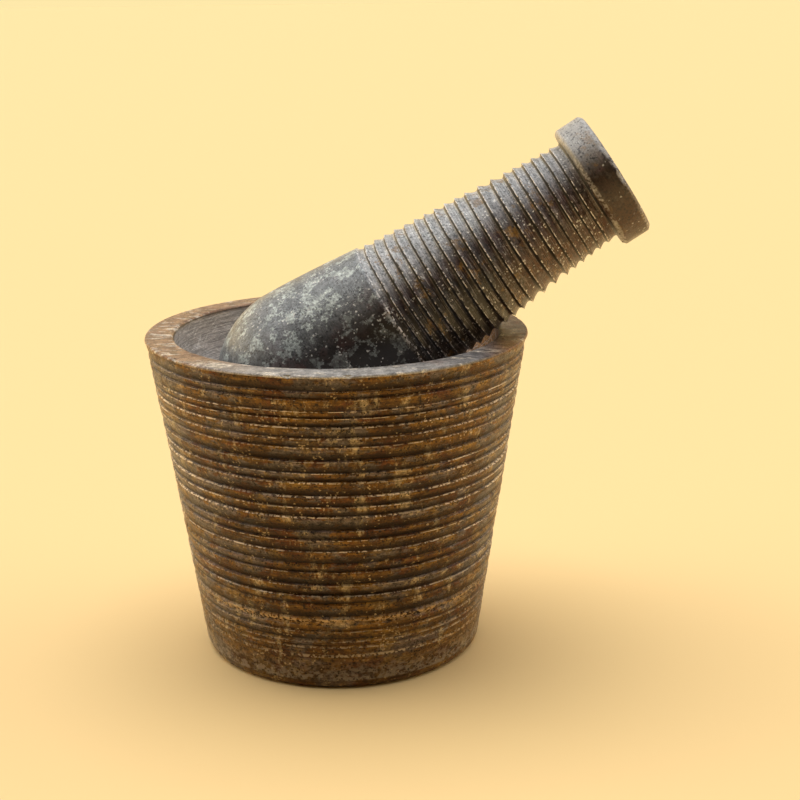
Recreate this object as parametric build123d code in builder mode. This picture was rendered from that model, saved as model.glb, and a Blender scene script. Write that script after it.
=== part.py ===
from build123d import *
import os
from math import cos, pi, radians, sin

# Stone mortar and pestle, both turned on a lathe. The mortar is a flat-bottomed tapered cup
# with fine rings cut all the way up its side. The pestle is one piece too: a blunt bulb,
# a grip of sharp ridges and a plain disc-shaped cap. It leans in the bowl on the mortar's lip.
# Millimetres, +Z up. The origin is the centre of the mortar's flat base.

# Mortar
height = 85.4
rim_radius = 50.0
foot_radius = 37.2
bowl_radius = 42.45
bowl_depth = 37.0
lip_bevel = 0.6
rim_rounding = 0.7
foot_rounding = 2.2

# Rings on the mortar's side, from the lowest one up: how many spaces, and how wide each is.
# Each ring is a long face that swells outwards up to its crest, then a short step back in.
lowest_ring = 9.5
ring_runs = ((5, 2.26), (16, 3.05), (5, 2.32))
ring_depth = 0.4
ring_step = 0.5
ring_wander = 0.4
ring_beat = 2.3

# Pestle, measured along its axis from the tip of the bulb
nose_length = 25.0
bulb_radius = 23.0
bulb_waist = 39.0
bulb_waist_radius = 21.75
bulb_end = 52.9
bulb_end_radius = 20.0
grip_end = 111.4
cap_end = 119.4
cap_radius = 17.0
cap_chamfer = 0.8

# Ridges on the grip: sharp crests with hollows scooped between them, from the bulb to the cap
first_ridge = 55.4
first_ridge_radius = 19.55
last_ridge_radius = 14.3
ridge_runs = ((10, 2.87), (3, 3.75), (5, 2.62))
ridge_hollow = 0.33

# How the pestle leans: its axis lies in the XZ plane and rises towards +X
lean = 32.8
tip = (-28.4, 0, 60.8)

os.makedirs("parts", exist_ok=True)


def places(start, runs):
    """Places of evenly spaced cuts, run after run, starting with the one at start."""
    found = [start]
    for count, space in runs:
        found += [found[-1] + space * (i + 1) for i in range(count)]
    return found


def side_radius(z):
    """Radius of the mortar's plain taper at height z."""
    return foot_radius + (rim_radius - foot_radius) * z / height


def mortar_side():
    """Outer points from the foot up to the rim, with one notch above each ring crest."""
    points = [(side_radius(foot_rounding), foot_rounding)]
    for i, z in enumerate(places(lowest_ring, ring_runs)):
        crest = z + ring_wander * sin(ring_beat * i)
        notch = crest + ring_step
        points.append((side_radius(crest), crest))
        points.append((side_radius(notch) - ring_depth, notch))
    points.append((side_radius(height - rim_rounding), height - rim_rounding))
    return points


def grip_crests():
    """The grip's crests as points along and out from the pestle's axis, on a straight taper."""
    along_axis = places(first_ridge, ridge_runs)
    slope = (last_ridge_radius - first_ridge_radius) / (along_axis[-1] - along_axis[0])
    return [(s, first_ridge_radius + slope * (s - first_ridge)) for s in along_axis]


with BuildPart() as mortar:
    with BuildSketch(Plane.XZ):
        with BuildLine():
            side = mortar_side()
            flat = side_radius(0) - foot_rounding
            foot_mid = (flat + foot_rounding * sin(pi / 4), foot_rounding * (1 - cos(pi / 4)))
            rim_edge = (rim_radius - rim_rounding, height)
            Line((0, 0), (flat, 0))
            ThreePointArc((flat, 0), foot_mid, side[0])
            Polyline(*side, rim_edge, (bowl_radius + lip_bevel, height), (bowl_radius, height - lip_bevel))
            EllipticalCenterArc(
                (0, height - lip_bevel), bowl_radius, bowl_depth - lip_bevel, start_angle=270, arc_size=90
            )
            Line((0, height - bowl_depth), (0, 0))
        make_face()
    revolve(axis=Axis.Z)
mortar.part.label = "mortar"
export_step(mortar.part, "parts/mortar.step")

# The pestle's own plane: X along its axis from tip to cap, Y outwards
along = (cos(radians(lean)), 0, sin(radians(lean)))
pestle_plane = Plane(origin=tip, x_dir=along, z_dir=(0, -1, 0))

with BuildPart() as pestle:
    with BuildSketch(pestle_plane):
        with BuildLine():
            crests = grip_crests()
            nose_mid = (nose_length * (1 - cos(pi / 4)), bulb_radius * sin(pi / 4))
            Spline([(0, 0), nose_mid, (nose_length, bulb_radius)], tangents=[(0, 1), (1, 0)])
            Spline(
                [(nose_length, bulb_radius), (bulb_waist, bulb_waist_radius), (bulb_end, bulb_end_radius)],
                tangents=[(1, 0), (1, -0.13)],
            )
            first_hollow = (bulb_end, crests[0][1] - ridge_hollow * (first_ridge - bulb_end))
            Polyline((bulb_end, bulb_end_radius), first_hollow, crests[0])
            for (s0, r0), (s1, r1) in zip(crests, crests[1:]):
                hollow = ((s0 + s1) / 2, (r0 + r1) / 2 - ridge_hollow * (s1 - s0))
                ThreePointArc((s0, r0), hollow, (s1, r1))
            Polyline(
                crests[-1],
                (grip_end, crests[-1][1] - ridge_hollow * (grip_end - crests[-1][0])),
                (grip_end, cap_radius - cap_chamfer),
                (grip_end + cap_chamfer, cap_radius),
                (cap_end - cap_chamfer, cap_radius),
                (cap_end, cap_radius - cap_chamfer),
                (cap_end, 0),
                (0, 0),
            )
        make_face()
    revolve(axis=Axis(tip, along))
pestle.part.label = "pestle"
export_step(pestle.part, "parts/pestle.step")

print("pestle clear of mortar by", round(mortar.part.distance_to(pestle.part), 3), "mm")
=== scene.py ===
import bpy
from itertools import product
from math import cos, pi, radians, sin

import numpy as np
from mathutils import Matrix, Vector


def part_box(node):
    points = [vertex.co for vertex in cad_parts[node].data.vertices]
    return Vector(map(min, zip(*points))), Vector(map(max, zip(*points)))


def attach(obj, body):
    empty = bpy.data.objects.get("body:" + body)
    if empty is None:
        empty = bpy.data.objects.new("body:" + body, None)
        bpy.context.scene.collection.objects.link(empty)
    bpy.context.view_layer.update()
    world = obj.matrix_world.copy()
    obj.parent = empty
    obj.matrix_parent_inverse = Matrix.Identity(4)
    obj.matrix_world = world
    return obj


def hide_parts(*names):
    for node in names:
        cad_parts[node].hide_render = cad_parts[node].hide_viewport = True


# A stone mortar and its pestle, both turned on a lathe and then used for years. Each is one piece
# of stone, so each is one mesh: a lathe outline whose rows follow the turned rings, with the wear,
# the chips and the tool's chatter moved into the mesh. Metres, in the frame of the CAD model.

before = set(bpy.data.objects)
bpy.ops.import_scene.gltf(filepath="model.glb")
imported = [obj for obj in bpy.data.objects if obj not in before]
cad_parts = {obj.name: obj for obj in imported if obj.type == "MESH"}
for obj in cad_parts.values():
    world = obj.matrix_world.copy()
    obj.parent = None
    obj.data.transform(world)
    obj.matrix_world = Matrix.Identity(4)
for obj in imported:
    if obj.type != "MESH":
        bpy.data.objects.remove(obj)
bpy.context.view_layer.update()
mm = 0.001

# Mortar, with the sizes of the CAD model
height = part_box("mortar")[1].z
rim_radius = 50.0 * mm
foot_radius = 37.2 * mm
bowl_radius = 42.45 * mm
bowl_depth = 37.0 * mm
lip_bevel = 0.6 * mm
rim_rounding = 0.7 * mm
foot_rounding = 2.2 * mm

# Rings on the mortar's side, from the lowest one up: how many spaces, and how wide each is. Above each
# crest the side steps in over a short ledge to a notch, and then swells in a roll up to the next crest.
# ring_crown is the share of a notch's depth by which a crest is rounded off.
lowest_ring = 9.5 * mm
ring_runs = ((5, 2.26 * mm), (16, 3.05 * mm), (5, 2.32 * mm))
ring_depth = 0.72 * mm
ring_step = 0.31 * mm
ring_crown = 0.30
ring_wander = 0.4 * mm
ring_beat = 2.3

# A band low on the side where the tool tore the stone
torn_height = 19.8 * mm
torn_width = 0.75 * mm

# How deep a chip is where the material shows it in full, for torn crests and for nicks in an edge
full_tear = 0.25 * mm
full_nick = 0.3 * mm

# Pestle, measured along its axis from the tip of the bulb
nose_length = 25.0 * mm
bulb_radius = 23.0 * mm
bulb_waist = 39.0 * mm
bulb_waist_radius = 21.75 * mm
bulb_end = 52.9 * mm
bulb_end_radius = 20.0 * mm
grip_end = 111.4 * mm
cap_end = 119.4 * mm
cap_radius = 17.0 * mm
cap_chamfer = 0.8 * mm

# Ridges on the grip: sharp crests with hollows between them. ridge_hollow is a hollow's depth as a
# share of its width, and ridge_lean moves its deepest place towards the cap.
first_ridge = 55.4 * mm
first_ridge_radius = 19.55 * mm
last_ridge_radius = 14.3 * mm
ridge_runs = ((10, 2.87 * mm), (3, 3.75 * mm), (5, 2.62 * mm))
ridge_hollow = 0.33
ridge_lean = 1.5

# How the pestle leans: its axis lies in the XZ plane and rises towards +X
lean = radians(32.8)
tip = Vector((-28.4 * mm, 0, 60.8 * mm))

# How finely the meshes are divided round their axes
mortar_columns = 600
pestle_columns = 480


# ---------------------------------------------------------------- numbers and noise

def places(start, runs):
    """Places of evenly spaced cuts, run after run, starting with the one at start."""
    found = [start]
    for count, space in runs:
        found += [found[-1] + space * (i + 1) for i in range(count)]
    return found


def smooth(low, high, value):
    """0 below low, 1 above high, and an S-curve between."""
    t = np.clip((value - low) / (high - low), 0, 1)
    return t * t * (3 - 2 * t)


def lattice(cell, seed):
    """A random value from 0 to 1 for each whole-numbered cell, from big odd factors and mixed bits."""
    mixed = cell[..., 0] * 374761393 + cell[..., 1] * 668265263 + cell[..., 2] * 1442695041 + seed * 974711
    mixed = (mixed ^ (mixed >> 13)) & 0xFFFFFFFF
    mixed = (mixed * 1274126177) & 0xFFFFFFFF
    return ((mixed ^ (mixed >> 16)) & 0xFFFF) / 0xFFFF


def noise(points, size, seed):
    """Smooth noise from 0 to 1 at points, with bumps about size across (one size, or one per axis)."""
    scaled = points / np.asarray(size)
    cell = np.floor(scaled).astype(np.int64)
    part = scaled - cell
    part = part * part * (3 - 2 * part)
    total = np.zeros(points.shape[:-1])
    for corner in product((0, 1), repeat=3):
        weight = np.ones(points.shape[:-1])
        for axis, side in enumerate(corner):
            weight = weight * (part[..., axis] if side else 1 - part[..., axis])
        total += weight * lattice(cell + np.array(corner), seed)
    return total


def rough(points, size, seed, octaves=3):
    """Noise with finer and finer noise added, from about 0 to 1."""
    total = sum(noise(points, np.asarray(size) / 2**k, seed + k) / 2**k for k in range(octaves))
    return total / sum(1 / 2**k for k in range(octaves))


# ---------------------------------------------------------------- meshes

def turned_mesh(name, first_pole, grid, last_pole, attributes):
    """A closed mesh from a grid of points, rows by columns, with a pole at each end. attributes holds
    a name and a grid of values for each thing that the material reads."""
    rows, columns = grid.shape[:2]
    points = np.concatenate([grid.reshape(-1, 3), [first_pole, last_pole]])
    low = np.arange(rows - 1)[:, None] * columns + np.arange(columns)
    low_next = np.arange(rows - 1)[:, None] * columns + np.roll(np.arange(columns), -1)
    quads = np.stack([low, low_next, low_next + columns, low + columns], -1).reshape(-1, 4)
    ring = np.arange(columns)
    ring_next = np.roll(ring, -1)
    top = (rows - 1) * columns
    start_fan = np.stack([ring_next, ring, np.full(columns, rows * columns)], -1)
    end_fan = np.stack([top + ring, top + ring_next, np.full(columns, rows * columns + 1)], -1)
    mesh = bpy.data.meshes.new(name)
    mesh.from_pydata(points.tolist(), [], quads.tolist() + start_fan.tolist() + end_fan.tolist())
    for label, values in attributes.items():
        ends = [values[0].mean(), values[-1].mean()]
        layer = mesh.attributes.new(label, "FLOAT", "POINT")
        layer.data.foreach_set("value", np.concatenate([values.ravel(), ends]).astype(np.float32))
    mesh.shade_smooth()
    mesh.update()
    piece = bpy.data.objects.new(name, mesh)
    bpy.context.scene.collection.objects.link(piece)
    return piece


def circle(columns):
    """The angles of columns evenly spaced places on a circle."""
    return np.arange(columns) * 2 * pi / columns


def mortar_point(radius, z, angle):
    """Points round the mortar's axis."""
    return np.stack([radius * np.cos(angle), radius * np.sin(angle), z + 0 * angle], -1)


def side_radius(z):
    """Radius of the mortar's plain taper at height z."""
    return foot_radius + (rim_radius - foot_radius) * z / height


def ring_crests():
    """Heights of the ring crests, with a little wander."""
    return [z + ring_wander * sin(ring_beat * i) for i, z in enumerate(places(lowest_ring, ring_runs))]


def face_depth(share):
    """Share of a notch's depth at a place on the roll above it, from the notch at 0 to the crest at 1.
    The roll turns under at the notch and is rounded off at the crest."""
    return (1 - share) ** 1.5 + ring_crown * max(0, (share - 0.45) / 0.55) ** 2


def mortar_rows():
    """Rows of the mortar's outline, from the centre of the base, up the side, over the rim and down
    into the bowl. Each row is its radius, its height, its share of a notch's depth, the number of that
    notch, how much it lies on a crest's edge, how much painted shade it gets, and its part of the mortar."""
    rows = []
    random = np.random.default_rng(4)
    foot_flat = side_radius(0) - foot_rounding
    for share in np.linspace(0.12, 1, 7):
        rows.append((foot_flat * share, 0, 0, 0, 0, 0, "base"))
    for turn in np.linspace(0, pi / 2, 7)[1:]:
        corner = (foot_flat + foot_rounding * sin(turn), foot_rounding * (1 - cos(turn)))
        rows.append((*corner, 0, 0, 0, 0, "foot"))
    crests = ring_crests()
    for z in np.linspace(foot_rounding, crests[0], 22)[1:-1]:
        rows.append((side_radius(z), z, 0, 0, 0, 0, "side"))
    for i, crest in enumerate(crests):
        soft = 1 - smooth(14 * mm, 30 * mm, crest)
        step = ring_step * random.uniform(0.7, 1.5) * (1 + 1.2 * soft)
        notch = crest + step
        for share in (0, 0.18, 0.5, 0.8):
            z = crest + step * share
            deep = ring_crown + (1 - ring_crown) * share
            rows.append((side_radius(z), z, deep, i, 1 - share, share**3, "side"))
        above = height - rim_rounding if i + 1 == len(crests) else crests[i + 1]
        for share in (0, 0.07, 0.18, 0.32, 0.47, 0.62, 0.76, 0.88, 0.96):
            z = notch + (above - notch) * share
            painted_shade = 1 - share
            rows.append((side_radius(z), z, face_depth(share), i, smooth(0.9, 1, share), painted_shade, "side"))
    edge = side_radius(height - rim_rounding)
    for turn in np.linspace(0, pi / 2, 5)[:-1]:
        rim = (edge - rim_rounding * (1 - cos(turn)), height - rim_rounding * (1 - sin(turn)))
        rows.append((*rim, 0, 0, 1, 0, "lip"))
    inner = bowl_radius + lip_bevel
    for share in np.linspace(0, 1, 15):
        rows.append((edge - rim_rounding + (inner - edge + rim_rounding) * share, height, 0, 0, 0, 0, "rim"))
    # the inner bevel under the lip, which carries painted shade
    for share in (0.5, 1):
        rows.append((inner - lip_bevel * share, height - lip_bevel * share, 0, 0, 0.3, 0.9 * share**2, "lip"))
    for turn in np.linspace(0, pi / 2, 66)[1:-1]:
        z = height - lip_bevel - (bowl_depth - lip_bevel) * sin(turn)
        rows.append((bowl_radius * cos(turn), z, 0, 0, 0, 0, "bowl"))
    return rows


def mortar_piece():
    """The mortar as one mesh: rings with torn crests, a foot band with fine lines, a nicked rim."""
    rows = mortar_rows()
    radius, z, share, notch, edge, painted_shade = np.array([row[:6] for row in rows], float).T[..., None]
    part = np.array([row[6] for row in rows])[:, None]
    angle = circle(mortar_columns)[None, :]
    plain = mortar_point(radius, z, angle)
    side = part == "side"
    random = np.random.default_rng(7)

    # each ring has its own depth, which comes and goes on the way round
    strength = random.uniform(0.75, 1.2, len(ring_crests()))[notch.astype(int)]
    bright = random.uniform(0.15, 1.15, len(ring_crests()))[notch.astype(int)]
    round_ring = mortar_point(np.full_like(z, 0.045), notch * 0.1, angle)
    depth = ring_depth * strength * (0.7 + 0.6 * noise(round_ring, 0.022, 11))
    depth = depth * (0.32 + 0.40 * smooth(0.011, 0.017, z) + 0.28 * smooth(0.018, 0.028, z))
    inset = depth * share

    # the tool's lines, one offset for each row
    line = random.uniform(0, 1, (len(rows), 1)) * 0.05 * mm * side
    line = line + (random.uniform(0, 1, (len(rows), 1)) > 0.6) * 0.09 * mm * side * (z < lowest_ring)

    # crests torn in places into short chips, and worn elsewhere
    torn_place = smooth(0.42, 0.75, noise(plain, (0.02, 0.02, 0.006), 21))
    chip = smooth(0.52, 0.85, noise(plain, (0.0009, 0.0009, 0.0007), 22))
    torn_band = np.exp(-(((z - torn_height) / torn_width) ** 2))
    reach = (0.10 + 0.24 * torn_place + 0.16 * torn_band) * mm
    tear = chip * reach * np.maximum(edge, 0.8 * torn_band) * side

    # the stone's own unevenness, and chips out of the rim's two edges
    grain = (rough(plain, 0.0022, 31) - 0.35).clip(0) * 0.10 * mm * (side | (part == "foot"))
    nick = smooth(0.66, 0.80, rough(plain, 0.0032, 41, 2)) * 0.45 * mm * (part == "lip")
    nick = nick * np.where(radius < bowl_radius + 2 * lip_bevel, 0.4, 1)
    swell = (noise(plain, (0.03, 0.03, 0.012), 51)) * 0.25 * mm * side

    inward = inset + line + tear + grain + nick + swell
    moved_radius = radius - inward * (part != "bowl") * (part != "base")
    moved_z = z - nick * 0.6 - 0.12 * mm * noise(plain, 0.004, 61) * (part == "rim")
    wobble = (noise(mortar_point(radius, z * 0.4, angle), 0.018, 71) - 0.5) * 0.35 * mm * side
    grid = mortar_point(moved_radius, moved_z + wobble, angle)

    attributes = {
        "hollow": painted_shade * np.where(side, np.clip(depth / ring_depth, 0, 1), 1),
        "edge": edge * np.where(side, bright, 1) + 0 * angle,
        "tear": tear / full_tear,
        "rim": ((part == "rim") | (part == "lip")) + 0.0 * angle,
        "bowl": (part == "bowl") + 0.0 * angle,
        "side": side + 0.0 * angle,
        "nick": np.clip(nick / full_nick, 0, 1),
        "torn": torn_band * side + 0 * angle,
    }
    floor_of_bowl = (0, 0, height - bowl_depth)
    piece = turned_mesh("mortar_turned", (0, 0, 0), grid, floor_of_bowl, attributes)
    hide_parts("mortar")
    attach(piece, "mortar")
    return piece


def pestle_point(along, radius, angle):
    """Points round the pestle's axis."""
    axis = np.array((cos(lean), 0, sin(lean)))
    up = np.array((-sin(lean), 0, cos(lean)))
    across = np.array((0, 1, 0))
    out = np.cos(angle)[..., None] * up + np.sin(angle)[..., None] * across
    return np.array(tip) + along[..., None] * axis + radius[..., None] * out


def ridge_crests():
    """The grip's crests as places along and out from the pestle's axis, on a straight taper."""
    along = places(first_ridge, ridge_runs)
    slope = (last_ridge_radius - first_ridge_radius) / (along[-1] - along[0])
    return [(s, first_ridge_radius + slope * (s - first_ridge)) for s in along]


def pestle_rows():
    """Rows of the pestle's outline from the tip to the cap: place along the axis, radius, depth below
    the crests, how much the row lies on a crest, how much painted shadow it gets beside one, and its part."""
    rows = []
    for turn in np.linspace(0, pi / 2, 60)[1:]:
        rows.append((nose_length * (1 - cos(turn)), bulb_radius * sin(turn), 0, 0, 0, "bulb"))
    shoulder = bulb_end - nose_length
    waist = (bulb_waist - nose_length) / shoulder
    bend = np.log((bulb_radius - bulb_waist_radius) / (bulb_radius - bulb_end_radius)) / np.log(waist)
    for share in np.linspace(0, 1, 50)[1:-1]:
        fall = (bulb_radius - bulb_end_radius) * share**bend
        crest = smooth(0.97, 1, share)
        rows.append((nose_length + shoulder * share, bulb_radius - fall, 0, crest, 0, "bulb"))
    rows.append((bulb_end, bulb_end_radius, 0, 1, 0, "bulb"))
    crests = ridge_crests()
    ledge = (bulb_end + 0.35 * mm, crests[0][1])
    spans = [(ledge, crests[0], ridge_hollow)]
    spans += [(a, b, ridge_hollow) for a, b in zip(crests, crests[1:])]
    spans.append((crests[-1], (grip_end, crests[-1][1]), ridge_hollow * 0.7))
    for number, ((s0, r0), (s1, r1), hollow) in enumerate(spans):
        deepest = hollow * (s1 - s0)
        for share in (0, 0.04, 0.10, 0.22, 0.35, 0.48, 0.60, 0.70, 0.78, 0.84, 0.89, 0.93, 0.97):
            skew = (np.exp(ridge_lean * share) - 1) / (np.exp(ridge_lean) - 1)
            depth = deepest * 4 * skew * (1 - skew)
            crest = max(1 - share / 0.1, (share - 0.95) / 0.05, 0)
            # painted shadow on the bulb side of the next crest
            painted_shade = smooth(0.72, 0.90, share)
            rows.append((s0 + (s1 - s0) * share, r0 + (r1 - r0) * share, depth, crest, painted_shade, "grip"))
    inner = crests[-1][1]
    for share in (0, 0.3, 0.7):
        r = inner + (cap_radius - cap_chamfer - inner) * share
        rows.append((grip_end, r, 0, 0, 0, "cap"))
    for s, r in ((grip_end, cap_radius - cap_chamfer), (grip_end + cap_chamfer, cap_radius)):
        rows.append((s, r, 0, 1, 0, "cap"))
    for share in np.linspace(0, 1, 14)[1:-1]:
        s = grip_end + cap_chamfer + (cap_end - grip_end - 2 * cap_chamfer) * share
        rows.append((s, cap_radius, 0, 0, 0, "cap"))
    rows.append((cap_end - cap_chamfer, cap_radius, 0, 1, 0, "cap"))
    rows.append((cap_end, cap_radius - cap_chamfer, 0, 1, 0, "cap"))
    for share in np.linspace(1, 0.05, 20)[1:]:
        rows.append((cap_end, (cap_radius - cap_chamfer) * share, 0, 0, 0, "end"))
    return rows


def pestle_piece():
    """The pestle as one mesh: a worn bulb, a grip of jagged ridges and a plain cap."""
    rows = pestle_rows()
    along, radius, depth, crest, painted_shade = np.array([row[:5] for row in rows], float).T[..., None]
    part = np.array([row[5] for row in rows])[:, None]
    angle = circle(pestle_columns)[None, :] + 0 * along
    along, radius = along + 0 * angle, radius + 0 * angle
    plain = pestle_point(along, radius, angle)
    grip = part == "grip"

    # hollows that come and go, and crests broken into small teeth
    depth = depth * (0.8 + 0.35 * noise(plain, 0.012, 12))
    tooth = smooth(0.40, 0.75, noise(plain, 0.0010, 13)) * (0.12 + 0.28 * noise(plain, 0.009, 14)) * mm
    jag = tooth * crest * grip
    wave = (noise(plain, (0.011, 0.011, 0.011), 15) - 0.5) * 0.5 * mm * grip
    line = np.random.default_rng(18).uniform(0, 1, (len(rows), 1)) * 0.07 * mm * grip * (1 - crest)
    grain = (rough(plain, 0.0025, 16) - 0.35).clip(0) * 0.07 * mm
    nick = smooth(0.70, 0.85, noise(plain, 0.0028, 17)) * 0.35 * mm * crest * (part != "grip")
    inward = depth + jag + grain + nick + line
    grid = pestle_point(along + wave, radius - inward * (part != "end"), angle)

    attributes = {
        "hollow": painted_shade * (1 - crest) * (0.55 + 0.6 * noise(plain, 0.008, 19)),
        "edge": crest + 0 * angle,
        "grip": grip + 0.0 * angle,
        "cap": ((part == "cap") | (part == "end")) + 0.0 * angle,
        "nick": np.clip(nick / full_tear, 0, 1),
        "tear": jag / full_tear,
    }
    first = pestle_point(np.array(0.0), np.array(0.0), np.array(0.0))
    last = pestle_point(np.array(cap_end), np.array(0.0), np.array(0.0))
    piece = turned_mesh("pestle_turned", first, grid, last, attributes)
    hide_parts("pestle")
    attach(piece, "pestle")
    return piece


# ---------------------------------------------------------------- materials

def colour(red, green, blue):
    """A colour given as screen values from 0 to 255."""
    def linear(value):
        value = value / 255
        return value / 12.92 if value <= 0.04045 else ((value + 0.055) / 1.055) ** 2.4
    return (linear(red), linear(green), linear(blue), 1)


class Shader:
    """A material with a Principled shader, and short names for the nodes that feed it."""

    def __init__(self, name):
        self.material = bpy.data.materials.new(name)
        self.material.use_nodes = True
        self.tree = self.material.node_tree
        self.shader = self.tree.nodes["Principled BSDF"]

    def add(self, kind, **settings):
        """A new node with its settings."""
        node = self.tree.nodes.new(kind)
        for key, value in settings.items():
            setattr(node, key, value)
        return node

    def feed(self, socket, value):
        """Links value to a socket if it is another node's output, or sets it."""
        if isinstance(value, bpy.types.NodeSocket):
            self.tree.links.new(value, socket)
        else:
            socket.default_value = value

    def place(self, origin=(0, 0, 0), turn=(0, 0, 0), stretch=(1, 1, 1)):
        """The piece's own coordinates in millimetres, from an origin and axes turned that far."""
        where = self.add("ShaderNodeTexCoord").outputs["Object"]
        frame_of_piece = self.add("ShaderNodeMapping", vector_type="TEXTURE")
        self.feed(frame_of_piece.inputs["Vector"], where)
        frame_of_piece.inputs["Location"].default_value = origin
        frame_of_piece.inputs["Rotation"].default_value = turn
        frame_of_piece.inputs["Scale"].default_value = (mm, mm, mm)
        return self.stretched(frame_of_piece.outputs["Vector"], stretch)

    def stretched(self, where, stretch, shift=(0, 0, 0)):
        """Coordinates stretched along the axes and then shifted."""
        node = self.add("ShaderNodeMapping")
        self.feed(node.inputs["Vector"], where)
        node.inputs["Scale"].default_value = stretch
        node.inputs["Location"].default_value = shift
        return node.outputs["Vector"]

    def shifted(self, where, shift):
        """Coordinates moved to another part of a pattern."""
        return self.stretched(where, (1, 1, 1), shift)

    def turned(self, where, angles, stretch):
        """Coordinates turned by angles about X, Y and Z, then stretched."""
        node = self.add("ShaderNodeMapping")
        self.feed(node.inputs["Vector"], where)
        node.inputs["Rotation"].default_value = angles
        return self.stretched(node.outputs["Vector"], stretch)

    def noise(self, where, size, detail=3.0, roughness=0.55, distortion=0.0):
        """Noise with features about size millimetres across."""
        node = self.add("ShaderNodeTexNoise")
        self.feed(node.inputs["Vector"], where)
        node.inputs["Scale"].default_value = 1 / size
        node.inputs["Detail"].default_value = detail
        node.inputs["Roughness"].default_value = roughness
        node.inputs["Distortion"].default_value = distortion
        return node.outputs["Fac"]

    def cell_tone(self, where, size):
        """A random number from 0 to 1 for each of many cells about size millimetres across."""
        node = self.add("ShaderNodeTexVoronoi")
        self.feed(node.inputs["Vector"], where)
        node.inputs["Scale"].default_value = 1 / size
        parts = self.add("ShaderNodeSeparateColor")
        self.feed(parts.inputs["Color"], node.outputs["Color"])
        return parts.outputs["Red"]

    def step(self, value, low, high, start=0.0, end=1.0):
        """start below low, end above high, and an S-curve between."""
        node = self.add("ShaderNodeMapRange", interpolation_type="SMOOTHSTEP")
        for label, number in (("Value", value), ("From Min", low), ("From Max", high)):
            self.feed(node.inputs[label], number)
        node.inputs["To Min"].default_value = start
        node.inputs["To Max"].default_value = end
        return node.outputs["Result"]

    def math(self, operation, first, second=0.0):
        """One Math node."""
        node = self.add("ShaderNodeMath", operation=operation)
        self.feed(node.inputs[0], first)
        self.feed(node.inputs[1], second)
        return node.outputs["Value"]

    def times(self, *values):
        total = values[0]
        for value in values[1:]:
            total = self.math("MULTIPLY", total, value)
        return total

    def plus(self, first, second):
        return self.math("ADD", first, second)

    def most(self, first, second):
        return self.math("MAXIMUM", first, second)

    def mixed(self, share, first, second):
        """first where share is 0 and second where it is 1."""
        node = self.add("ShaderNodeMix", data_type="RGBA", clamp_factor=True)
        self.feed(node.inputs["Factor"], share)
        self.feed(node.inputs[6], first)
        self.feed(node.inputs[7], second)
        return node.outputs[2]

    def scaled(self, tone, factor):
        """A colour made brighter or darker by factor."""
        node = self.add("ShaderNodeVectorMath", operation="SCALE")
        self.feed(node.inputs["Vector"], tone)
        self.feed(node.inputs["Scale"], factor)
        return node.outputs["Vector"]

    def mottled(self, tone, pattern, darker, brighter):
        """A colour made darker and brighter by a noise pattern."""
        return self.scaled(tone, self.step(pattern, 0.36, 0.64, darker, brighter))

    def attribute(self, name):
        """A value stored on the mesh."""
        return self.add("ShaderNodeAttribute", attribute_name=name).outputs["Fac"]

    def axis(self, where, which):
        """One coordinate: 0, 1 or 2 for X, Y or Z."""
        node = self.add("ShaderNodeSeparateXYZ")
        self.feed(node.inputs["Vector"], where)
        return node.outputs[which]

    def bump(self, height_value, reach, after=None):
        """A bump whose height runs over reach metres."""
        node = self.add("ShaderNodeBump")
        self.feed(node.inputs["Height"], height_value)
        node.inputs["Distance"].default_value = reach
        if after is not None:
            self.feed(node.inputs["Normal"], after)
        return node.outputs["Normal"]

    def finish(self, base, roughness, normal, specular):
        """Feeds the shader and returns the material."""
        self.feed(self.shader.inputs["Base Color"], base)
        self.feed(self.shader.inputs["Roughness"], roughness)
        self.feed(self.shader.inputs["Normal"], normal)
        self.shader.inputs["Specular IOR Level"].default_value = specular
        return self.material


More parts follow.
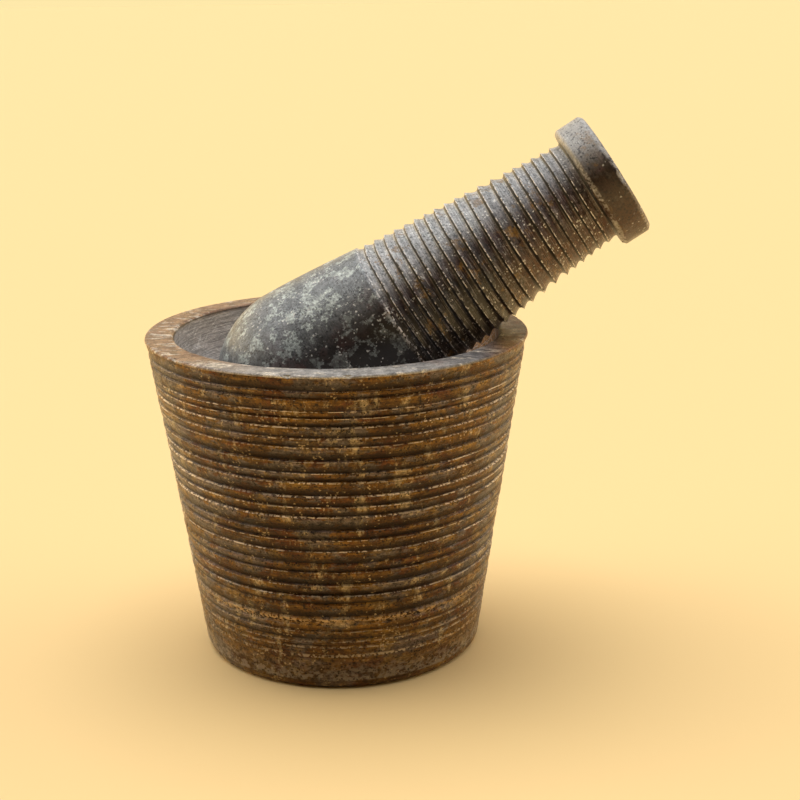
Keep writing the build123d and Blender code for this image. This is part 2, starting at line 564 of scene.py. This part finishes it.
def mortar_stone():
    """Brown soapstone: clouds of grey and khaki, rust spots, cream blotches, pale crests that are partly wear
    and partly a painted highlight, painted shade in the ring hollows, under the lip and deep in the bowl,
    painted light on the left and right sides, and a painted reflection along the rim's front.
    """
    sh = Shader("mortar_stone")
    where = sh.place()
    hollow, edge, rim = (sh.attribute(name) for name in ("hollow", "edge", "rim"))
    bowl, side, tear = (sh.attribute(name) for name in ("bowl", "side", "tear"))
    nick, torn = sh.attribute("nick"), sh.attribute("torn")
    right, back, up = (sh.axis(where, which) for which in range(3))

    # golden brown and olive, in clouds drawn out along the rings
    clouds = sh.noise(sh.stretched(where, (1, 1, 1.7)), 22, 6, 0.6, 0.4)
    base = sh.mixed(sh.step(clouds, 0.40, 0.60), colour(83, 52, 11), colour(115, 79, 24))
    streaks = sh.noise(sh.stretched(where, (1, 1, 4)), 8, 7, 0.65)
    base = sh.mixed(sh.step(streaks, 0.46, 0.60, 0, 0.5), base, colour(140, 103, 42))

    # patches of rust, of blue-grey and khaki, and cream blotches that cross the rings
    rust = sh.step(sh.noise(sh.stretched(where, (1, 1, 1.3), (9, 70, 0)), 9, 7, 0.68), 0.49, 0.60, 0, 0.75)
    base = sh.mixed(rust, base, colour(90, 45, 16))
    sides = sh.most(sh.step(right, -12, -38, 0, 0.055), sh.step(right, 24, 42, 0, 0.02))
    grey = sh.plus(sh.noise(sh.stretched(where, (1, 1, 2.0), (70, 0, 0)), 13, 8, 0.68), sides)
    grey = sh.step(grey, 0.51, 0.57)
    base = sh.mixed(sh.times(grey, sh.step(hollow, 0.0, 0.35, 0.55, 0.85)), base, colour(104, 97, 95))
    khaki = sh.step(sh.noise(sh.stretched(where, (1, 1, 1.2), (40, 0, 9)), 7, 7, 0.68), 0.54, 0.60, 0, 0.55)
    base = sh.mixed(khaki, base, colour(142, 111, 54))
    cream = sh.noise(sh.stretched(where, (1.8, 1.8, 0.7), (0, 31, 55)), 8, 9, 0.74)
    cream = sh.step(cream, 0.55, 0.62, 0, 0.85)
    base = sh.mixed(cream, base, colour(176, 155, 118))

    # fine grain, the tool's lines round the stone, and grey dust on the foot
    grain = sh.noise(where, 0.5, 3, 0.8)
    coarse = sh.noise(sh.stretched(where, (1, 1, 1.4)), 1.8, 6, 0.7)
    lines = sh.noise(sh.stretched(where, (0.10, 0.10, 1.6)), 0.7, 3, 0.7)
    base = sh.mottled(base, grain, 0.72, 1.30)
    base = sh.mottled(base, coarse, 0.60, 1.40)
    base = sh.scaled(base, sh.step(lines, 0.34, 0.66, 0.72, 1.30))
    base = sh.scaled(base, sh.step(up, 4, 26, 0.72, 1.0))
    dust = sh.times(sh.step(up, 10, 1.5), sh.step(coarse, 0.44, 0.56), side)
    base = sh.mixed(sh.times(dust, 0.85), base, colour(142, 132, 122))

    # painted light on the left and right sides and painted shade low in the rings, then specks, pores,
    # torn chips and the pale crests, which are partly wear and partly a painted highlight
    across = sh.math("ABSOLUTE", right)
    # painted light: the stone made lighter towards the left and right sides
    base = sh.scaled(base, sh.step(across, 14, 40, 0.98, 1.14))
    # painted shade low in each ring, weaker at the left and right sides where more light reaches
    painted_ring_shade = sh.times(sh.step(hollow, 0.05, 0.82, 0, 0.92), sh.step(across, 18, 38, 1, 0.72))
    base = sh.mixed(painted_ring_shade, base, colour(31, 16, 1))
    fleck = sh.cell_tone(where, 0.42)
    some = sh.noise(sh.shifted(where, (3, 3, 3)), 5, 5, 0.7)
    specks = sh.times(sh.step(fleck, 0.92, 0.94), sh.step(some, 0.50, 0.60), 0.6)
    base = sh.mixed(specks, base, colour(206, 180, 138))
    pores = sh.times(sh.step(fleck, 0.14, 0.10), sh.step(some, 0.60, 0.48), side)
    base = sh.mixed(sh.times(pores, 0.85), base, colour(16, 10, 5))
    dots = sh.cell_tone(sh.shifted(where, (7, 7, 7)), 0.6)
    torn = sh.times(torn, sh.step(sh.noise(where, 9, 4), 0.36, 0.50, 0.25, 1))
    base = sh.mixed(sh.step(tear, 0.35, 1.1, 0, 0.8), base, colour(28, 17, 7))
    base = sh.mixed(sh.times(torn, sh.step(dots, 0.45, 0.55), 0.9), base, colour(206, 172, 128))
    # pale crests: partly wear, partly a painted highlight on the lit ledges above each notch
    pale_crest = sh.times(sh.step(sh.noise(where, 14, 5), 0.40, 0.56, 0.35, 1), sh.step(edge, 0.22, 0.75))
    pale_crest = sh.times(pale_crest, sh.step(up, 12, 34, 0.35, 1), sh.step(dots, 0.40, 0.55, 0.06, 1.0))
    base = sh.mixed(pale_crest, base, colour(255, 232, 200))

    # the ground rim, brown on one side and grey on the other, lighter along its front as a painted
    # reflection, with pale scratches
    scratch = sh.noise(sh.stretched(where, (1, 3, 1)), 8, 6, 0.68, 0.6)
    rim_tone = sh.mixed(sh.step(right, -36, 0), colour(148, 114, 86), colour(106, 103, 103))
    rim_tone = sh.mixed(sh.times(rust, 0.7), rim_tone, colour(96, 62, 44))
    # painted reflection: the front of the rim made light grey
    rim_tone = sh.mixed(sh.step(back, -30, -46, 0, 0.72), rim_tone, colour(172, 167, 161))
    rim_tone = sh.mixed(sh.step(scratch, 0.555, 0.575, 0, 0.75), rim_tone, colour(212, 200, 182))
    rim_tone = sh.mixed(sh.step(right, 34, 45, 0, 0.9), rim_tone, colour(110, 66, 10))
    rim_tone = sh.scaled(rim_tone, sh.step(coarse, 0.38, 0.62, 0.62, 1.30))
    rim_tone = sh.mottled(rim_tone, grain, 0.72, 1.28)
    # painted shade: the inner bevel of the lip darkened where the rim shades it
    rim_tone = sh.mixed(sh.step(hollow, 0.2, 0.9, 0, 0.85), rim_tone, colour(40, 30, 24))
    base = sh.mixed(rim, base, rim_tone)
    base = sh.mixed(sh.times(nick, sh.step(grain, 0.40, 0.55, 0.3, 0.9)), base, colour(228, 220, 204))

    # the bowl, worn grey, brown under the grip and darker lower down, partly painted shade and partly ground
    # dust, with crossing scratches
    first = sh.noise(sh.turned(where, (0.7, 0, 0), (0.2, 0.15, 2)), 1.0, 3, 0.7)
    second = sh.noise(sh.turned(where, (-0.7, 0, 0), (0.2, 0.15, 2)), 1.0, 3, 0.7)
    bowl_tone = sh.mixed(sh.step(right, 26, 41), colour(202, 196, 194), colour(172, 118, 54))
    bowl_tone = sh.mixed(sh.step(clouds, 0.42, 0.58, 0, 0.5), bowl_tone, colour(158, 146, 140))
    crossed = sh.step(sh.most(first, second), 0.54, 0.64, 0, 0.55)
    bowl_tone = sh.mixed(crossed, bowl_tone, colour(238, 234, 230))
    # darker lower down: partly painted shade, partly ground dust
    bowl_tone = sh.scaled(bowl_tone, sh.step(up, 48, 80, 0.5, 1.0))
    bowl_tone = sh.scaled(bowl_tone, sh.step(lines, 0.34, 0.66, 0.65, 1.35))
    base = sh.mixed(bowl, base, bowl_tone)

    relief = sh.bump(coarse, 0.16 * mm)
    relief = sh.bump(lines, 0.14 * mm, relief)
    relief = sh.bump(grain, 0.07 * mm, relief)
    gloss = sh.step(sh.noise(where, 3, 4), 0.3, 0.7, 0.26, 0.44)
    return sh.finish(base, gloss, relief, 0.25)


def pestle_stone():
    """Charcoal soapstone, smooth from handling: pale frost on the bulb, crests pale from wear and stains on
    the grip, a painted sheen on the upper side, painted highlights on the grip and cap tops, a painted golden
    bounce underneath, painted shade low on the bulb and painted shadow beside each grip crest.
    """
    sh = Shader("pestle_stone")
    where = sh.place(tip, (0, -lean, 0))
    hollow, edge, nick = (sh.attribute(name) for name in ("hollow", "edge", "nick"))
    grip, cap, tear = (sh.attribute(name) for name in ("grip", "cap", "tear"))
    along, up = sh.axis(where, 0), sh.axis(where, 2)

    clouds = sh.noise(where, 15, 6, 0.6, 0.3)
    base = sh.mixed(sh.step(clouds, 0.42, 0.58), colour(32, 25, 23), colour(58, 53, 52))
    # painted light: a golden bounce from the floor on the underside of the grip and cap
    under = sh.times(sh.step(up, 5, -12, 0, 0.95), sh.step(along, 56, 92))
    base = sh.mixed(sh.times(grip, 0.7), base, colour(76, 62, 60))
    base = sh.mixed(under, base, colour(80, 43, 2))
    base = sh.mixed(sh.times(cap, 0.5), base, colour(58, 38, 24))
    purple = sh.step(sh.noise(sh.shifted(where, (33, 0, 0)), 9, 6, 0.7), 0.50, 0.60, 0, 0.7)
    base = sh.mixed(purple, base, colour(70, 45, 42))

    # stone dust lies on the nose, which does the grinding, and on the upper side, which is also painted
    # lighter as a painted sheen of the overhead light; the tops of the grip and cap get a painted highlight
    upper = sh.step(up, 4, 18)
    nose = sh.times(sh.step(along, 4, 28, 0.6, 0), sh.step(up, -14, 4, 0.2, 1))
    dust_and_sheen = sh.most(upper, nose)
    base = sh.mixed(sh.times(dust_and_sheen, 0.62), base, colour(142, 148, 151))
    # painted highlight on the tops of the grip and cap
    painted_top_highlight = sh.times(upper, sh.most(grip, cap), 0.7)
    base = sh.mixed(painted_top_highlight, base, colour(186, 184, 182))
    # painted shade: the lower side of the bulb and grip start, where it sits above the rim, made near black
    deep = sh.times(sh.step(up, 10, -2), sh.step(along, 22, 40, 0, 0.92))
    base = sh.mixed(sh.times(deep, sh.step(along, 92, 72)), base, colour(18, 12, 9))

    # frost: flaky pale patches with clear dark stone between them, and fine specks
    flakes = sh.cell_tone(where, 0.75)
    ragged = sh.plus(sh.noise(sh.shifted(where, (0, 21, 5)), 4.4, 8, 0.66), sh.times(flakes, 0.04))
    frost = sh.times(sh.step(ragged, 0.550, 0.570), sh.step(flakes, 0.1, 0.7, 0.35, 0.95))
    frost = sh.times(frost, sh.step(grip, 0, 1, 1, 0.3), sh.step(cap, 0, 1, 1, 0.15))
    base = sh.mixed(sh.times(frost, sh.step(dust_and_sheen, 0, 1, 0.34, 1.0)), base, colour(180, 188, 184))
    fleck = sh.cell_tone(where, 0.42)
    some = sh.times(sh.noise(sh.shifted(where, (3, 3, 3)), 5, 5, 0.7), sh.step(cap, 0, 1, 1, 0.9))
    often = sh.plus(fleck, sh.times(grip, 0.015))
    specks = sh.times(sh.step(often, 0.94, 0.96), sh.step(some, 0.46, 0.56), 0.8)
    base = sh.mixed(specks, base, colour(216, 214, 208))
    pores = sh.times(sh.step(fleck, 0.14, 0.10), sh.step(some, 0.58, 0.50), 0.7)
    base = sh.mixed(pores, base, colour(12, 9, 8))
    ochre = sh.step(sh.noise(sh.shifted(where, (5, 9, 80)), 7, 8, 0.75), 0.56, 0.62, 0, 0.8)
    base = sh.mixed(sh.times(ochre, sh.most(grip, sh.times(cap, 0.6))), base, colour(128, 96, 44))

    # fine grain everywhere, a coarser one off the cap, and the tool's lines, strongest on the grip
    plain = colour(255, 255, 255)
    grain = sh.noise(where, 0.5, 3, 0.8)
    coarse = sh.noise(where, 2.0, 6, 0.7)
    lines = sh.noise(sh.stretched(where, (1.6, 0.10, 0.10)), 0.6, 3, 0.7)
    base = sh.mottled(base, grain, 0.78, 1.24)
    base = sh.scaled(base, sh.mixed(cap, sh.step(coarse, 0.36, 0.64, 0.74, 1.28), plain))
    tool = sh.mixed(grip, sh.step(lines, 0.34, 0.66, 0.88, 1.12), sh.step(lines, 0.34, 0.66, 0.62, 1.42))
    base = sh.scaled(base, tool)

    scratch = sh.noise(sh.stretched(where, (2.6, 0.06, 0.06)), 0.6, 4, 0.7)
    scratch = sh.times(sh.step(scratch, 0.56, 0.60), sh.step(coarse, 0.42, 0.54), grip)
    base = sh.mixed(sh.times(scratch, 0.45), base, colour(192, 182, 178))
    # painted shadow: a dark line in each grip hollow on the bulb side of the next crest
    base = sh.mixed(sh.times(sh.step(hollow, 0.15, 0.50, 0, 0.96), grip), base, colour(10, 6, 3))
    pale_crest = sh.times(sh.step(sh.noise(where, 9, 4), 0.38, 0.52, 0.25, 1), sh.step(edge, 0.25, 0.75))
    dots = sh.cell_tone(sh.shifted(where, (7, 7, 7)), 0.55)
    pale_crest = sh.times(pale_crest, sh.step(dots, 0.40, 0.60, 0.0, 0.95), sh.step(grip, 0, 1, 0.25, 1))
    base = sh.mixed(sh.step(tear, 0.15, 0.6, 0, 0.85), base, colour(16, 11, 8))
    base = sh.mixed(pale_crest, base, colour(246, 240, 236))
    base = sh.mixed(sh.times(nick, sh.step(grain, 0.40, 0.55, 0.1, 0.6)), base, colour(190, 186, 176))

    relief = sh.bump(coarse, 0.08 * mm)
    relief = sh.bump(lines, 0.08 * mm, relief)
    relief = sh.bump(grain, 0.04 * mm, relief)
    gloss = sh.step(sh.noise(where, 4, 4), 0.3, 0.7, 0.28, 0.42)
    return sh.finish(base, gloss, relief, 0.65)


def floor_paper():
    """Plain pale matte paper."""
    sh = Shader("floor_paper")
    sh.shader.inputs["Base Color"].default_value = colour(248, 214, 152)
    sh.shader.inputs["Roughness"].default_value = 0.9
    return sh.material


# ---------------------------------------------------------------- stage, lights, camera

def studio_floor():
    """A plain pale floor, far larger than any view shows."""
    mesh = bpy.data.meshes.new("studio_floor")
    reach, columns = 40.0, 96
    angle = circle(columns)
    edge = mortar_point(np.full(columns, reach), 0, angle)
    mesh.from_pydata(edge.tolist(), [], [tuple(range(columns))])
    floor = bpy.data.objects.new("studio_floor", mesh)
    bpy.context.scene.collection.objects.link(floor)
    mesh.materials.append(floor_paper())


def ramp(tree, value, low, high, start, end):
    """A number that runs from start to end as value runs from low to high."""
    node = tree.nodes.new("ShaderNodeMapRange")
    tree.links.new(value, node.inputs["Value"])
    for label, number in (("From Min", low), ("From Max", high), ("To Min", start), ("To Max", end)):
        node.inputs[label].default_value = number
    return node.outputs["Result"]


def product_of(tree, first, second):
    """Two numbers multiplied."""
    node = tree.nodes.new("ShaderNodeMath")
    node.operation = "MULTIPLY"
    tree.links.new(first, node.inputs[0])
    tree.links.new(second, node.inputs[1])
    return node.outputs["Value"]


def studio_light():
    """One wide soft light overhead and a little behind, and a surround that is dim in front."""
    light = bpy.data.lights.new("overhead", "SUN")
    light.angle = radians(54)
    light.energy = 1.62
    light.color = (0.97, 0.985, 1.0)
    holder = bpy.data.objects.new("overhead", light)
    bpy.context.scene.collection.objects.link(holder)
    holder.rotation_euler = Vector((0.08, -0.12, -1)).to_track_quat("-Z", "Y").to_euler()

    world = bpy.data.worlds.new("surround")
    world.use_nodes = True
    tree = world.node_tree
    background, output = tree.nodes["Background"], tree.nodes["World Output"]
    where = tree.nodes.new("ShaderNodeTexCoord")
    axes = tree.nodes.new("ShaderNodeSeparateXYZ")
    tree.links.new(where.outputs["Generated"], axes.inputs[0])
    x, y, z = (axes.outputs[label] for label in "XYZ")
    blend = tree.nodes.new("ShaderNodeMix")
    blend.data_type = "RGBA"
    tree.links.new(ramp(tree, z, 0.1, 0.6, 0, 1), blend.inputs["Factor"])
    blend.inputs[6].default_value = colour(255, 220, 150)
    blend.inputs[7].default_value = colour(250, 250, 250)
    tree.links.new(blend.outputs[2], background.inputs["Color"])

    front_dim = ramp(tree, y, -0.55, 0.15, 0.02, 1.0)
    low_glow = ramp(tree, z, 0.1, 0.5, 1.35, 0.9)
    side_glow = ramp(tree, product_of(tree, x, x), 0.1, 0.8, 0.84, 2.1)
    left_glow = ramp(tree, x, -0.8, 0, 1.2, 1.0)
    strength = product_of(tree, product_of(tree, front_dim, low_glow), product_of(tree, side_glow, left_glow))
    tree.links.new(strength, background.inputs["Strength"])
    backdrop = tree.nodes.new("ShaderNodeBackground")
    backdrop.inputs["Color"].default_value = colour(255, 233, 170)
    choice = tree.nodes.new("ShaderNodeMixShader")
    ray = tree.nodes.new("ShaderNodeLightPath")
    tree.links.new(ray.outputs["Is Camera Ray"], choice.inputs["Fac"])
    tree.links.new(background.outputs["Background"], choice.inputs[1])
    tree.links.new(backdrop.outputs["Background"], choice.inputs[2])
    tree.links.new(choice.outputs["Shader"], output.inputs["Surface"])
    bpy.context.scene.world = world


def camera():
    """The camera, a little above the rim and looking down at the object's front."""
    lens = bpy.data.cameras.new("camera")
    lens.lens = 65.79
    lens.sensor_width = 36
    lens.clip_start = 0.01
    holder = bpy.data.objects.new("camera", lens)
    bpy.context.scene.collection.objects.link(holder)
    tilt = Matrix.Rotation(radians(74.58), 4, "X") @ Matrix.Rotation(radians(-0.64), 4, "Z")
    holder.matrix_world = Matrix.Translation((0.01632, -0.37497, 0.16916)) @ tilt
    bpy.context.scene.camera = holder


camera()
studio_floor()
studio_light()
mortar_piece().data.materials.append(mortar_stone())
pestle_piece().data.materials.append(pestle_stone())
bpy.context.scene.view_settings.view_transform = "Standard"
